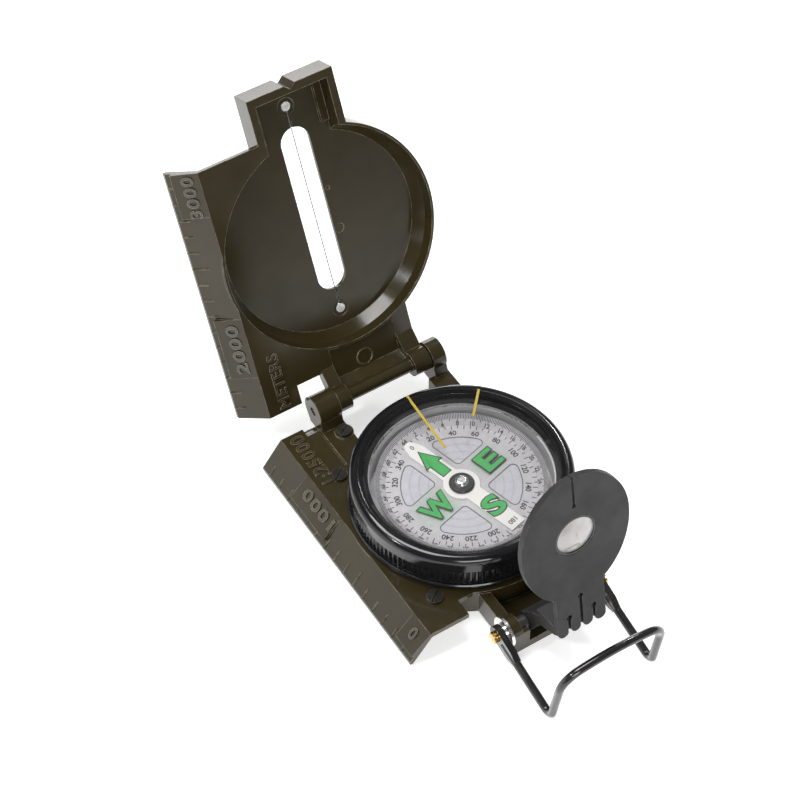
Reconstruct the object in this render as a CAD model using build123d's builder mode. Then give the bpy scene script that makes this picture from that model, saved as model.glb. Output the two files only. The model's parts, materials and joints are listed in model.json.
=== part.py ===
# Folding lensatic sighting compass: a base with a map ruler, a hinged cover with a sighting wire,
# a rotating bezel over a sealed dial capsule, a fold-down eyepiece lens and a thumb loop.
# Frame: the dial axis is Z, the base rests on Z = 0, the cover hinge is towards +Y and the
# ruler is along the -X side. All lengths are in millimetres.
from build123d import *
from math import cos, hypot, pi, radians, sin
import os

os.makedirs("parts", exist_ok=True)

# ---------------------------------------------------------------- driving dimensions
# base casting
tub_radius = 26.0
deck_top = 7.7
deck_under = 6.4
deck_left = -25.7
deck_rear = -27.2
deck_front = 35.5
ruler_x = -30.8
ruler_z = 1.15
ruler_foot = 0.2
neck_radius = 22.9
neck_top = 13.5
cup_radius = 21.6
shelf_z = 8.0
floor_thick = 1.3
# map scale, one tick every hundred metres at 1:25000
scale_zero = -23.55
tick_step = 4.0
tick_width = 0.3
tick_short = 2.8
tick_long = 4.2
tick_height = 0.25
pad_height = 0.9
pad_width = 6.6
# cover hinge
hinge_y = 36.27
hinge_z = 11.05
hinge_pin_radius = 1.1
hinge_bore = 1.15
lug_radius = 3.6
ear_radius = 3.0
sleeve_radius = 1.7
cover_angle = 113.94
# cover, in its closed position
rim_z = 14.4
plate_thick = 1.2
recess_z = 19.65
back_z = 20.55
dome_radius = 26.6
cover_rear = -27.4
cover_front = 35.0
tongue_half = 10.7
tongue_tip = -37.85
tongue_inner = 8.9
tip_wall = 2.0
slot_half = 3.55
slot_rear = -26.0
slot_front = 14.5
wire_radius = 0.12
wire_z = 19.9
pin_places = (-31.2, 19.7)
# bezel
bezel_low = 8.0
bezel_bore = 22.98
flange_radius = 25.3
band_radius = 24.9
knurl_radius = 24.5
knurl_root = 24.1
knurl_count = 120
bezel_top = 17.7
opening_radius = 21.9
crystal_top = 17.2
# capsule and dial
window_z = 14.35
cup_top = 14.8
cup_inner = 20.5
card_top = 12.0
card_thick = 0.4
dial_heading = 15.0
# eyepiece and thumb loop turn about one rear axis
pivot_y = -34.3
pivot_z = 6.3
pivot_radius = 1.1
screw_radius = 0.9
spacer_radius = 1.6
eye_lean = 10.0
eye_front = 11.7
eye_back = 13.1
eye_height = 32.8
lens_radius = 4.5
frame_radius = 4.9
wall_outer = 11.0
wall_inner = 8.5
loop_wire = 0.95
loop_half = 13.0
loop_arm = 20.8
loop_drop = 14.8
loop_lean = 8.5

# ---------------------------------------------------------------- shared planes and points
slope_run = deck_left - ruler_x
slope_rise = deck_top - ruler_z
slope_length = hypot(slope_run, slope_rise)
base_slope = Plane(origin=(deck_left, 0, deck_top), x_dir=(0, 1, 0), z_dir=(-slope_rise, 0, slope_run))
cover_slope = Plane(origin=(deck_left, 0, rim_z), x_dir=(0, -1, 0), z_dir=(-slope_rise, 0, -slope_run))
# bevel cross-sections: local x runs down the bevel from the deck's edge, local y stands off it
base_bevel = Plane(origin=(deck_left, 0, deck_top), x_dir=(-slope_run, 0, -slope_rise), z_dir=(0, 1, 0))
cover_bevel = Plane(origin=(deck_left, 0, rim_z), x_dir=(-slope_run, 0, slope_rise), z_dir=(0, -1, 0))
# wedge under each cast number, flush at the deck and standing off further down the bevel
pad_section = ((0, 0), (pad_width, pad_height), (pad_width, -0.3), (0.3, -0.3))
hinge_axis = Axis((0, hinge_y, hinge_z), (1, 0, 0))
dial_plane = Plane.XY.rotated((0, 0, dial_heading))
eye_cos = cos(radians(eye_lean))
eye_sin = sin(radians(eye_lean))
# local x across, local y up the eyepiece, local z rearward from its hinge
eye_plane = Plane(origin=(0, pivot_y, pivot_z), x_dir=(1, 0, 0), z_dir=(0, -eye_cos, eye_sin))
# the same frame seen from the side: local x rearward, local y up the eyepiece
eye_side = Plane(origin=(0, pivot_y, pivot_z), x_dir=(0, -eye_cos, eye_sin), z_dir=(-1, 0, 0))


def across(offset):
    """Plane facing +X at the given X, with local x along Y and local y along Z."""
    return Plane.YZ.offset(offset)


# ---------------------------------------------------------------- base casting
with BuildPart() as base:
    # round tub and the neck that the bezel turns on
    with BuildSketch():
        Circle(tub_radius)
    extrude(amount=deck_top)
    chamfer(base.edges().group_by(Axis.Z)[0], length=0.6)
    with BuildSketch(Plane.XY.offset(deck_top)):
        Circle(neck_radius)
    extrude(amount=neck_top - deck_top)
    with BuildSketch(Plane.XY.offset(floor_thick)):
        Circle(19.0)
    extrude(amount=neck_top, mode=Mode.SUBTRACT)
    with BuildSketch(Plane.XY.offset(shelf_z)):
        Circle(cup_radius)
    extrude(amount=neck_top, mode=Mode.SUBTRACT)
    with BuildSketch(Plane.XY.offset(11.0)):
        Circle(neck_radius + 1)
        Circle(22.4, mode=Mode.SUBTRACT)
    extrude(amount=0.6, mode=Mode.SUBTRACT)
    # deck and bevelled ruler, a thin shell that is open underneath
    with BuildSketch(Plane.XZ.offset(-deck_front)):
        with BuildLine():
            Polyline(
                (-15.8, deck_top),
                (deck_left, deck_top),
                (ruler_x, ruler_z),
                (ruler_x, ruler_foot),
                (ruler_x + 0.8, ruler_foot),
                (deck_left + 0.5, deck_under),
                (-15.8, deck_under),
                close=True,
            )
        make_face()
    extrude(amount=deck_front - deck_rear)
    with BuildSketch(Plane.XY.offset(deck_under)):
        with Locations((-13.5, 27.5)):
            Rectangle(5.6, 16.0)
        with Locations((-13.5, -20.5)):
            Rectangle(5.4, 5.0)
        Circle(tub_radius - 1, mode=Mode.SUBTRACT)
    extrude(amount=deck_top - deck_under)
    # screw bosses under the deck
    with BuildSketch(Plane.XY.offset(3.2)):
        with Locations((-19.7, 19.7), (-19.7, -19.7), (-12.4, 29.7)):
            Circle(1.9)
    extrude(amount=deck_under - 3.2)
    with BuildSketch(Plane.XY.offset(deck_under)):
        with Locations((-12.4, 29.7)):
            Circle(2.2)
    extrude(amount=deck_top - deck_under + 0.3)
    # right arm and the two hinge lugs
    with BuildSketch(Plane.XY.offset(4.4)):
        with Locations((14.95, 25.6)):
            Rectangle(5.3, 14.2)
        Circle(tub_radius - 1, mode=Mode.SUBTRACT)
    extrude(amount=deck_top - 4.4)
    for lug_x, lug_width, lug_foot in ((-16.6, 5.6, deck_under), (13.9, 3.4, 4.4)):
        with BuildSketch(across(lug_x)):
            with Locations((hinge_y, hinge_z)):
                Circle(lug_radius)
            with BuildLine():
                Polyline(
                    (31.9, lug_foot),
                    (31.9, deck_top),
                    (hinge_y - 3.4, hinge_z - 1.2),
                    (hinge_y, hinge_z),
                    (hinge_y + 3.3, hinge_z - 1.4),
                    (37.6, lug_foot),
                    close=True,
                )
            make_face()
        extrude(amount=lug_width)
    with BuildSketch(across(-20)):
        with Locations((hinge_y, hinge_z)):
            Circle(hinge_pin_radius)
    extrude(amount=36.9, mode=Mode.SUBTRACT)
    with BuildSketch(across(-20)):
        with Locations((hinge_y, hinge_z)):
            Circle(lug_radius + 1)
    extrude(amount=3.4, mode=Mode.SUBTRACT)
    # rear channel for the eyepiece hinge, with a gap in its end wall and a lug on each side wall
    with BuildSketch(Plane.XY.offset(0.8)):
        with Locations((0, -29.1)):
            Rectangle(2 * wall_outer, 16.2)
        Circle(tub_radius - 1, mode=Mode.SUBTRACT)
    extrude(amount=6.2)
    with BuildSketch(across(-wall_outer)):
        with Locations((pivot_y, pivot_z)):
            Circle(2.9)
    extrude(amount=2 * wall_outer)
    with BuildSketch(Plane.XY.offset(2.0)):
        with Locations((0, -28.5)):
            Rectangle(2 * wall_inner, 13.0)
        Circle(tub_radius, mode=Mode.SUBTRACT)
    extrude(amount=10, mode=Mode.SUBTRACT)
    with BuildSketch(Plane.XY.offset(3.0)):
        with Locations((0, -36.0)):
            Rectangle(13.6, 4.0)
    extrude(amount=10, mode=Mode.SUBTRACT)
    with BuildSketch(Plane.XY.offset(7.0)):
        with Locations((0, -36.5)):
            Rectangle(2 * wall_inner, 3.0)
    extrude(amount=10, mode=Mode.SUBTRACT)
    with BuildSketch(across(-wall_inner)):
        with Locations((pivot_y, pivot_z)):
            Circle(spacer_radius + 0.3)
    extrude(amount=2 * wall_inner, mode=Mode.SUBTRACT)
    with BuildSketch(across(-9.3)):
        with Locations((pivot_y, pivot_z)):
            Circle(pivot_radius)
    extrude(amount=18.6, mode=Mode.SUBTRACT)
    for hole_x in (-12.0, 9.9):
        with BuildSketch(across(hole_x)):
            with Locations((pivot_y, pivot_z)):
                Circle(screw_radius)
        extrude(amount=2.1, mode=Mode.SUBTRACT)
    # step line beside the hinge lug
    with BuildSketch(Plane.XY.offset(deck_top - 0.3)):
        with Locations((-16.9, 28.1)):
            Rectangle(0.45, 13.2)
    extrude(amount=1, mode=Mode.SUBTRACT)
    # number pads and raised ticks on the bevel
    for pad_start, pad_length in ((9.25, 14.4), (deck_rear, 6.6)):
        with BuildSketch(base_bevel.offset(pad_start)):
            with BuildLine():
                Polyline(*pad_section, close=True)
            make_face()
        extrude(amount=pad_length)
    for mark in range(15):
        tick = tick_long if mark == 5 else tick_short
        with BuildSketch(base_slope.offset(-0.1)):
            with Locations((scale_zero + mark * tick_step, slope_length - tick / 2)):
                Rectangle(tick_width, tick)
        extrude(amount=tick_height + 0.1)
    # screw holes
    with BuildSketch(Plane.XY.offset(4.0)):
        with Locations((-19.7, 19.7), (-19.7, -19.7), (-12.4, 29.7)):
            Circle(0.8)
    extrude(amount=8, mode=Mode.SUBTRACT)
base.part.label = "base_casting"
export_step(base.part, "parts/base_casting.step")

# ---------------------------------------------------------------- casing screws in the deck
with BuildPart() as screws:
    for screw_x, screw_y, seat, head in (
        (-19.7, 19.7, deck_top, 1.8),
        (-19.7, -19.7, deck_top, 1.8),
        (-12.4, 29.7, deck_top + 0.3, 1.7),
    ):
        with BuildSketch(Plane.XY.offset(seat)):
            with Locations((screw_x, screw_y)):
                Circle(head)
        extrude(amount=0.75)
        with BuildSketch(Plane.XY.offset(4.4)):
            with Locations((screw_x, screw_y)):
                Circle(0.8)
        extrude(amount=seat - 4.4)
        with BuildSketch(Plane.XY.offset(seat + 0.35)):
            with Locations(Location((screw_x, screw_y, 0), (0, 0, 35))):
                Rectangle(2 * head + 0.4, 0.5)
        extrude(amount=1, mode=Mode.SUBTRACT)
screws.part.label = "casing_screws"
export_step(screws.part, "parts/casing_screws.step")

# ---------------------------------------------------------------- cover hinge pin
with BuildPart() as hinge_pin:
    with BuildSketch(across(-16.2)):
        with Locations((hinge_y, hinge_z)):
            Circle(hinge_pin_radius)
    extrude(amount=33.1)
hinge_pin.part.label = "hinge_pin"
export_step(hinge_pin.part, "parts/hinge_pin.step")

# ---------------------------------------------------------------- cover casting
# drawn closed over the bezel, then swung open about the hinge
with BuildPart() as closed_cover:
    with BuildSketch(Plane.XZ):
        with BuildLine():
            Polyline((0, back_z), (0, rim_z), (dome_radius, rim_z), (dome_radius, back_z - 1.4))
            TangentArc((dome_radius, back_z - 1.4), (dome_radius - 1.4, back_z), tangent=(0, 1))
            Line((dome_radius - 1.4, back_z), (0, back_z))
        make_face()
    revolve(axis=Axis.Z)
    # hollow tongue over the eyepiece
    with BuildSketch(Plane.XY.offset(rim_z)):
        with Locations((0, (tongue_tip - 20.0) / 2)):
            Rectangle(2 * tongue_half, -20.0 - tongue_tip)
    extrude(amount=back_z - rim_z)
    # side plate, flush with the rim, and the bevelled ruler
    with BuildSketch(Plane.XY.offset(rim_z)):
        with BuildLine():
            Polyline(
                (deck_left, cover_rear),
                (-8.0, cover_rear),
                (-8.0, 29.9),
                (-10.85, 30.3),
                (-17.3, 30.3),
                (-17.3, cover_front),
                (deck_left, cover_front),
                close=True,
            )
        make_face()
    extrude(amount=plate_thick)
    with BuildSketch(Plane.XZ.offset(-cover_front)):
        with BuildLine():
            Polyline(
                (-25.0, rim_z),
                (deck_left, rim_z),
                (ruler_x, rim_z + slope_rise),
                (ruler_x, rim_z + deck_top - ruler_foot),
                (ruler_x + 0.8, rim_z + deck_top - ruler_foot),
                (deck_left + 0.5, rim_z + deck_top - deck_under),
                (-25.0, rim_z + deck_top - deck_under),
                close=True,
            )
        make_face()
    extrude(amount=cover_front - cover_rear)
    # web down to the hinge sleeve
    with BuildSketch(across(-7.7)):
        with BuildLine():
            Polyline(
                (22.0, 14.8),
                (33.4, 14.8),
                (35.0, 12.0),
                (36.9, 12.6),
                (36.9, 13.8),
                (34.0, 16.2),
                (22.0, 16.2),
                close=True,
            )
        make_face()
        with Locations((hinge_y, hinge_z)):
            Circle(sleeve_radius)
    extrude(amount=17.2)
    # ears
    for ear_x, ear_width in ((-10.8, 3.2), (9.4, 4.3)):
        with BuildSketch(across(ear_x)):
            with BuildLine():
                Polyline(
                    (19.0, rim_z),
                    (29.6, rim_z),
                    (33.7, 12.0),
                    (hinge_y, hinge_z),
                    (38.4, 12.8),
                    (36.4, 14.0),
                    (32.0, 16.2),
                    (19.0, 16.2),
                    close=True,
                )
            make_face()
            with Locations((hinge_y, hinge_z)):
                Circle(ear_radius)
        extrude(amount=ear_width)
    # the bezel's recess and the hollow of the tongue
    with BuildSketch(Plane.XZ):
        with BuildLine():
            Polyline((0, recess_z), (0, rim_z - 2), (26.0, rim_z - 2), (26.0, rim_z), (25.5, 16.8))
            Line((25.5, 16.8), (23.7, recess_z))
            Line((23.7, recess_z), (0, recess_z))
        make_face()
    revolve(axis=Axis.Z, mode=Mode.SUBTRACT)
    with BuildSketch(Plane.XY.offset(rim_z - 2)):
        with Locations((0, (tongue_tip + tip_wall - 20.0) / 2)):
            Rectangle(2 * tongue_inner, -20.0 - tongue_tip - tip_wall)
    extrude(amount=recess_z - rim_z + 2, mode=Mode.SUBTRACT)
    # stiffening steps along the tongue's inner corners
    with BuildSketch(Plane.XY.offset(recess_z - 0.8)):
        with Locations((-8.0, -30.4), (8.0, -30.4)):
            Rectangle(2.0, 11.4)
    extrude(amount=1.2)
    # sighting slot
    with BuildSketch(Plane.XY.offset(rim_z)):
        with Locations((0, (slot_rear + slot_front) / 2)):
            SlotOverall(slot_front - slot_rear, 2 * slot_half, rotation=90)
    extrude(amount=10, mode=Mode.SUBTRACT)
    # pin pockets and the wire's groove
    with BuildSketch(Plane.XY.offset(recess_z)):
        with Locations(*((0, place) for place in pin_places)):
            Circle(2.0)
    extrude(amount=0.35, mode=Mode.SUBTRACT)
    with BuildSketch(Plane.XY.offset(recess_z)):
        with Locations((0, sum(pin_places) / 2)):
            Rectangle(0.5, pin_places[1] - pin_places[0])
    extrude(amount=0.45, mode=Mode.SUBTRACT)
    with BuildSketch(Plane.XY.offset(recess_z)):
        with Locations(*((0, place) for place in pin_places)):
            Circle(0.6)
    extrude(amount=2, mode=Mode.SUBTRACT)
    # sighting notch down the tip
    with BuildSketch(Plane.XY.offset(rim_z - 1)):
        with BuildLine():
            Polyline((-1.5, tongue_tip - 0.1), (1.5, tongue_tip - 0.1), (0, tongue_tip + 1.2), close=True)
        make_face()
    extrude(amount=10, mode=Mode.SUBTRACT)
    # round casting marks on the web and the floor
    with BuildSketch(Plane.XY.offset(14.6)):
        with Locations((0.7, 31.2)):
            Circle(2.1)
            Circle(1.8, mode=Mode.SUBTRACT)
    extrude(amount=0.4)
    with BuildSketch(Plane.XY.offset(recess_z - 0.1)):
        with Locations((4.9, 1.1)):
            Circle(1.1)
        with Locations((4.6, -9.2)):
            Circle(0.5)
    extrude(amount=0.3, mode=Mode.SUBTRACT)
    # hinge bore
    with BuildSketch(across(-12)):
        with Locations((hinge_y, hinge_z)):
            Circle(hinge_bore)
    extrude(amount=27, mode=Mode.SUBTRACT)
    # number pads and raised ticks on the bevel
    for pad_start, pad_length in ((-24.1, 15.2), (16.7, 10.7)):
        with BuildSketch(cover_bevel.offset(pad_start)):
            with BuildLine():
                Polyline(*pad_section, close=True)
            make_face()
        extrude(amount=pad_length)
    for mark in range(16, 31):
        tick = tick_long if mark == 25 else tick_short
        with BuildSketch(cover_slope.offset(-0.1)):
            with Locations((scale_zero + mark * tick_step - 2 * hinge_y, slope_length - tick / 2)):
                Rectangle(tick_width, tick)
        extrude(amount=tick_height + 0.1)
cover = closed_cover.part.rotate(hinge_axis, -cover_angle)
cover.label = "cover_casting"
export_step(cover, "parts/cover_casting.step")

# ---------------------------------------------------------------- sighting wire and its two pins
wire_start = pin_places[0] + 0.9
wire_end = pin_places[1] - 0.9
with BuildPart() as closed_wire:
    with BuildSketch(Plane.XZ.offset(-wire_end)):
        with Locations((0, wire_z)):
            Circle(wire_radius)
    extrude(amount=wire_end - wire_start)
wire = closed_wire.part.rotate(hinge_axis, -cover_angle)
wire.label = "sighting_wire"
export_step(wire, "parts/sighting_wire.step")

with BuildPart() as closed_pins:
    for place in pin_places:
        with BuildSketch(Plane.XY.offset(recess_z + 0.35)):
            with Locations((0, place)):
                Circle(1.25)
        extrude(amount=-0.35, taper=25)
        with BuildSketch(Plane.XY.offset(recess_z + 0.35)):
            with Locations((0, place)):
                Circle(0.6)
        extrude(amount=0.55)
    with BuildSketch(Plane.XZ.offset(-wire_end)):
        with Locations((0, wire_z)):
            Circle(wire_radius)
    extrude(amount=wire_end - wire_start, mode=Mode.SUBTRACT)
pins = closed_pins.part.rotate(hinge_axis, -cover_angle)
pins.label = "wire_pins"
export_step(pins, "parts/wire_pins.step")

# ---------------------------------------------------------------- bezel ring
with BuildPart() as bezel:
    with BuildSketch(Plane.XZ):
        with BuildLine():
            Polyline(
                (23.3, bezel_top),
                (22.8, bezel_top),
                (opening_radius, crystal_top),
                (opening_radius, 15.35),
                (20.9, 15.35),
                (20.9, 15.0),
                (bezel_bore, 15.0),
                (bezel_bore, bezel_low),
                (flange_radius - 0.3, bezel_low),
                (flange_radius, bezel_low + 0.3),
                (flange_radius, 8.95),
                (flange_radius - 0.25, 9.2),
                (knurl_root, 9.2),
                (knurl_root, 13.0),
                (knurl_radius, 13.0),
                (band_radius, 13.7),
                (band_radius, 16.0),
            )
            ThreePointArc((band_radius, 16.0), (24.45, 17.2), (23.3, bezel_top))
        make_face()
    revolve(axis=Axis.Z)
    flutes = []
    for tooth in range(knurl_count):
        for turn, radius in ((0.0, knurl_root), (0.36, knurl_radius), (0.64, knurl_radius)):
            angle = 2 * pi * (tooth + turn) / knurl_count
            flutes.append((radius * cos(angle), radius * sin(angle)))
    with BuildSketch(Plane.XY.offset(9.2)):
        with BuildLine():
            Polyline(*flutes, close=True)
        make_face()
        Circle(knurl_root - 0.4, mode=Mode.SUBTRACT)
    extrude(amount=3.8)
    # grooves for the snap ring and for the luminous lines
    with BuildSketch(Plane.XY.offset(10.85)):
        Circle(23.6)
    extrude(amount=0.9, mode=Mode.SUBTRACT)
    for azimuth in (-2.6, -42.5):
        with BuildSketch(Plane.XY.rotated((0, 0, azimuth)).offset(crystal_top)):
            with Locations((0, 23.0)):
                Rectangle(0.7, 3.0)
        extrude(amount=1, mode=Mode.SUBTRACT)
bezel.part.label = "bezel_ring"
export_step(bezel.part, "parts/bezel_ring.step")

with BuildPart() as crystal:
    with BuildSketch(Plane.XY.offset(15.7)):
        Circle(opening_radius)
    extrude(amount=crystal_top - 15.7)
crystal.part.label = "bezel_crystal"
export_step(crystal.part, "parts/bezel_crystal.step")

with BuildPart() as crystal_gasket:
    with BuildSketch(Plane.XY.offset(15.35)):
        Circle(opening_radius)
        Circle(20.7, mode=Mode.SUBTRACT)
    extrude(amount=0.35)
crystal_gasket.part.label = "crystal_gasket"
export_step(crystal_gasket.part, "parts/crystal_gasket.step")

# course lines laid on the crystal and into the rim grooves
with BuildPart() as course_lines:
    for azimuth, inner, outer in ((-2.6, 7.2, 24.3), (-42.5, 15.5, 23.4)):
        with BuildSketch(Plane.XY.rotated((0, 0, azimuth)).offset(crystal_top)):
            with Locations((0, (inner + outer) / 2)):
                Rectangle(0.6, outer - inner)
        extrude(amount=0.15)
course_lines.part.label = "course_lines"
export_step(course_lines.part, "parts/course_lines.step")

with BuildPart() as snap_ring:
    with BuildSketch(Plane.XY.offset(11.05)):
        Circle(23.3)
        Circle(22.42, mode=Mode.SUBTRACT)
        with Locations((0, 23.0)):
            Rectangle(3.0, 3.0, mode=Mode.SUBTRACT)
    extrude(amount=0.5)
snap_ring.part.label = "bezel_snap_ring"
export_step(snap_ring.part, "parts/bezel_snap_ring.step")

with BuildPart() as bezel_washer:
    with BuildSketch(Plane.XY.offset(deck_top)):
        Circle(24.7)
        Circle(23.0, mode=Mode.SUBTRACT)
    extrude(amount=0.25)
bezel_washer.part.label = "bezel_washer"
export_step(bezel_washer.part, "parts/bezel_washer.step")

# ---------------------------------------------------------------- capsule
with BuildPart() as cup:
    with BuildSketch(Plane.XY.offset(shelf_z)):
        Circle(cup_radius)
    extrude(amount=neck_top - shelf_z)
    with BuildSketch(Plane.XY.offset(neck_top)):
        Circle(22.7)
    extrude(amount=cup_top - neck_top)
    with BuildSketch(Plane.XY.offset(9.0)):
        Circle(cup_inner)
    extrude(amount=10, mode=Mode.SUBTRACT)
    with BuildSketch(Plane.XY.offset(window_z)):
        Circle(21.0)
    extrude(amount=10, mode=Mode.SUBTRACT)
    with BuildSketch(Plane.XY.offset(shelf_z)):
        Circle(1.2)
    extrude(amount=3, mode=Mode.SUBTRACT)
cup.part.label = "capsule_cup"
export_step(cup.part, "parts/capsule_cup.step")

with BuildPart() as window:
    with BuildSketch(Plane.XY.offset(window_z)):
        Circle(21.0)
    extrude(amount=cup_top - window_z)
window.part.label = "capsule_window"
export_step(window.part, "parts/capsule_window.step")

with BuildPart() as post:
    with BuildSketch(Plane.XY.offset(shelf_z - 0.6)):
        Circle(2.6)
    extrude(amount=0.6)
    with BuildSketch(Plane.XY.offset(shelf_z)):
        Circle(1.2)
    extrude(amount=2.2)
    with BuildSketch(Plane.XY.offset(shelf_z + 0.6)):
        Circle(0.35)
    extrude(amount=3, mode=Mode.SUBTRACT)
post.part.label = "pivot_post"
export_step(post.part, "parts/pivot_post.step")

with BuildPart() as needle:
    with BuildSketch(Plane.XY.offset(shelf_z + 0.6)):
        Circle(0.35)
    extrude(amount=3.4)
    with BuildSketch(Plane.XY.offset(shelf_z + 4.0)):
        Circle(0.35)
    extrude(amount=0.8, taper=20)
needle.part.label = "pivot_needle"
export_step(needle.part, "parts/pivot_needle.step")

# ---------------------------------------------------------------- dial, free to turn on the needle
with BuildPart() as card:
    with BuildSketch(Plane.XZ):
        with BuildLine():
            Polyline(
                (0.8, card_top - card_thick),
                (17.0, card_top - card_thick),
                (19.1, 13.2),
                (19.1, 13.65),
                (16.8, card_top),
                (0.8, card_top),
                close=True,
            )
        make_face()
    revolve(axis=Axis.Z)
    for east in (-1, 1):
        for north in (-1, 1):
            with BuildSketch(dial_plane.offset(card_top - card_thick - 1)) as opening:
                Circle(13.4)
                with Locations((east * 13.7, north * 14.3)):
                    Rectangle(20, 20, mode=Mode.INTERSECT)
                fillet(opening.vertices(), radius=1.0)
            extrude(amount=3, mode=Mode.SUBTRACT)
card.part.label = "dial_card"
export_step(card.part, "parts/dial_card.step")

with BuildPart() as north_bar:
    with BuildSketch(dial_plane.offset(card_top)):
        with BuildLine():
            Polyline(
                (-2.1, -16.6),
                (-2.1, 13.5),
                (-1.5, 15.6),
                (-0.7, 16.6),
                (0.7, 16.6),
                (1.5, 15.6),
                (2.1, 13.5),
                (2.1, -16.6),
                close=True,
            )
        make_face()
        Circle(4.1)
        Circle(0.8, mode=Mode.SUBTRACT)
    extrude(amount=0.4)
north_bar.part.label = "north_south_bar"
export_step(north_bar.part, "parts/north_south_bar.step")

with BuildPart() as magnet:
    with BuildSketch(dial_plane.offset(card_top - card_thick - 0.9)):
        Rectangle(3.0, 26.0)
        Circle(2.6)
        Circle(0.8, mode=Mode.SUBTRACT)
    extrude(amount=0.9)
magnet.part.label = "dial_magnet"
export_step(magnet.part, "parts/dial_magnet.step")

with BuildPart() as collar:
    with BuildSketch(Plane.XY.offset(card_top + 0.4)):
        Circle(2.85)
        Circle(1.6, mode=Mode.SUBTRACT)
    extrude(amount=0.7)
    chamfer(collar.faces().sort_by(Axis.Z)[-1].outer_wire().edges(), length=0.3)
collar.part.label = "hub_collar"
export_step(collar.part, "parts/hub_collar.step")

with BuildPart() as hub_cap:
    with BuildSketch(Plane.XY.offset(card_top + 0.4)):
        Circle(1.6)
    extrude(amount=1.6)
    fillet(hub_cap.edges().group_by(Axis.Z)[-1], radius=0.8)
    with BuildSketch(Plane.XY.offset(card_top + 0.4)):
        Circle(0.9)
    extrude(amount=1.0, mode=Mode.SUBTRACT)
hub_cap.part.label = "hub_cap"
export_step(hub_cap.part, "parts/hub_cap.step")

with BuildPart() as jewel:
    with BuildSketch(Plane.XY.offset(12.85)):
        Circle(0.9)
    extrude(amount=0.55)
jewel.part.label = "pivot_jewel"
export_step(jewel.part, "parts/pivot_jewel.step")

# ---------------------------------------------------------------- eyepiece
with BuildPart() as eyepiece:
    # egg-shaped leaf with its neck
    with BuildSketch(eye_plane.offset(eye_front)):
        with BuildLine():
            EllipticalCenterArc((0, eye_height), 13.2, 16.0, start_angle=0, arc_size=180)
            EllipticalCenterArc((0, eye_height), 13.2, 17.5, start_angle=180, arc_size=180)
        make_face()
        with Locations((0, 13.0)):
            Rectangle(12.0, 13.0)
    extrude(amount=eye_back - eye_front)
    # arm from the hinge barrel to the neck
    with BuildSketch(eye_side):
        with BuildLine():
            Polyline(
                (-0.6, 2.1),
                (2.4, 4.9),
                (5.3, 6.2),
                (5.3, 8.1),
                (eye_front, 8.1),
                (eye_front, 12.0),
                (eye_back - 0.4, 12.0),
                (eye_back - 0.4, 6.3),
                (11.4, 5.5),
                (6.0, 3.9),
                (1.2, -1.9),
                close=True,
            )
        make_face()
        Circle(2.3)
    extrude(amount=6.0, both=True)
    # finger ribs at the foot
    for rib_x, rib_radius in ((-4.68, 1.32), (-1.5, 1.15), (1.5, 1.15), (4.68, 1.32)):
        with BuildSketch(eye_plane.offset(eye_front)):
            with Locations((rib_x, 6.6)):
                Circle(rib_radius)
        extrude(amount=eye_back - eye_front)
    for groove_x, groove_top in ((-3.1, 10.4), (0, 15.2), (3.1, 10.4)):
        with BuildSketch(eye_plane.offset(eye_back - 0.9)):
            with Locations((groove_x, (groove_top + 4.0) / 2)):
                Rectangle(0.75, groove_top - 4.0)
            with Locations((groove_x, groove_top)):
                Circle(0.7)
        extrude(amount=2, mode=Mode.SUBTRACT)
    # lens seat, sighting slit with its end hole, hinge bore
    with BuildSketch(eye_plane.offset(eye_front - 1)):
        with Locations((0, eye_height)):
            Circle(frame_radius)
        with Locations((0, eye_height + 12.7)):
            Rectangle(0.6, 9.0)
        with Locations((0, eye_height + 8.4)):
            Circle(0.5)
    extrude(amount=4, mode=Mode.SUBTRACT)
    with BuildSketch(eye_side):
        Circle(pivot_radius + 0.06)
    extrude(amount=8.0, both=True, mode=Mode.SUBTRACT)
eyepiece.part.label = "eyepiece_bracket"
export_step(eyepiece.part, "parts/eyepiece_bracket.step")

with BuildPart() as lens_frame:
    with BuildSketch(eye_plane.offset(eye_front + 0.1)):
        with Locations((0, eye_height)):
            Circle(frame_radius)
            Circle(lens_radius, mode=Mode.SUBTRACT)
    extrude(amount=1.2)
lens_frame.part.label = "eyepiece_lens_ring"
export_step(lens_frame.part, "parts/eyepiece_lens_ring.step")

lens_mid = (eye_front + eye_back) / 2
with BuildPart() as lens:
    with BuildSketch(eye_side):
        with BuildLine():
            Line((lens_mid - 0.6, eye_height), (lens_mid + 0.6, eye_height))
            TangentArc(
                (lens_mid + 0.6, eye_height), (lens_mid + 0.2, eye_height + lens_radius), tangent=(0, 1)
            )
            Line((lens_mid + 0.2, eye_height + lens_radius), (lens_mid - 0.2, eye_height + lens_radius))
            TangentArc(
                (lens_mid - 0.6, eye_height), (lens_mid - 0.2, eye_height + lens_radius), tangent=(0, 1)
            )
        make_face()
    revolve(axis=Axis(eye_plane.from_local_coords((0, eye_height, 0)), eye_plane.z_dir))
lens.part.label = "eyepiece_lens"
export_step(lens.part, "parts/eyepiece_lens.step")

# ---------------------------------------------------------------- fittings on the rear axis
with BuildPart() as rear_pin:
    with BuildSketch(across(-9.3)):
        with Locations((pivot_y, pivot_z)):
            Circle(pivot_radius)
    extrude(amount=18.6)
rear_pin.part.label = "eyepiece_hinge_pin"
export_step(rear_pin.part, "parts/eyepiece_hinge_pin.step")

with BuildPart() as spacers:
    for spacer_x in (-wall_inner, 6.1):
        with BuildSketch(across(spacer_x)):
            with Locations((pivot_y, pivot_z)):
                Circle(spacer_radius)
                Circle(pivot_radius, mode=Mode.SUBTRACT)
        extrude(amount=2.4)
spacers.part.label = "eyepiece_spacers"
export_step(spacers.part, "parts/eyepiece_spacers.step")

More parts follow.
